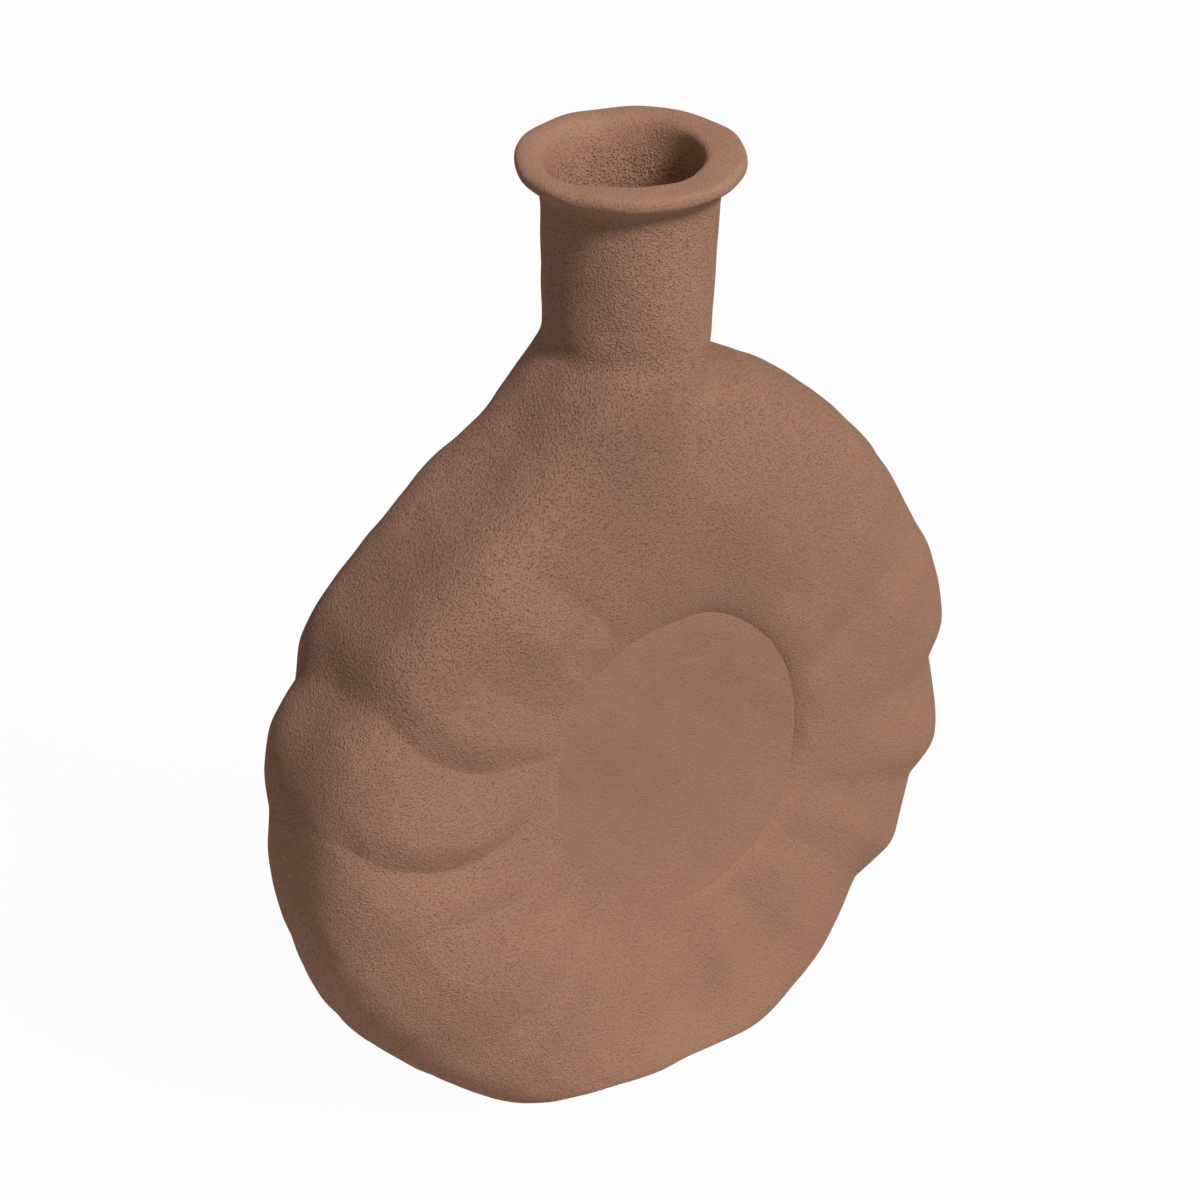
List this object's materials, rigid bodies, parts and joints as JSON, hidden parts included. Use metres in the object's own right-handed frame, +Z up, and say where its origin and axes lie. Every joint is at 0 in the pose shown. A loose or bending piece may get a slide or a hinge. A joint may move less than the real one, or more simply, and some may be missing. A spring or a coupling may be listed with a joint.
{
  "type": "terracotta vase",
  "caption": "Flat moon-flask vase of rough terracotta: a ribbed ring body round a sunken round panel, smooth shoulders and a short round neck with a flared flat lip.",
  "frame": {"origin": "point of the flat foot straight below the neck's axis", "axes": "+Z up along the neck, -Y out of the face with the seen round panel, +X to the right of that face; the seam of the two halves lies on y = 0"},
  "size_m": [0.2554, 0.071, 0.2988],
  "materials": {
    "body_clay": "matte unglazed terracotta, brushed and sandy",
    "panel_clay": "matte unglazed terracotta, wiped round in circles",
    "rim_clay": "matte unglazed terracotta, smoothed along the lip",
    "inner_clay": "raw unglazed terracotta, unfinished inside",
    "foot_clay": "matte unglazed terracotta, rubbed flat underneath"
  },
  "bodies": {
    "root": {"front_half": "body_clay", "back_half": "body_clay", "seam_coil": "inner_clay", "front_disc": "panel_clay", "back_disc": "panel_clay", "neck": "body_clay", "rim": "rim_clay", "base_slab": "foot_clay"}
  },
  "joints": []
}
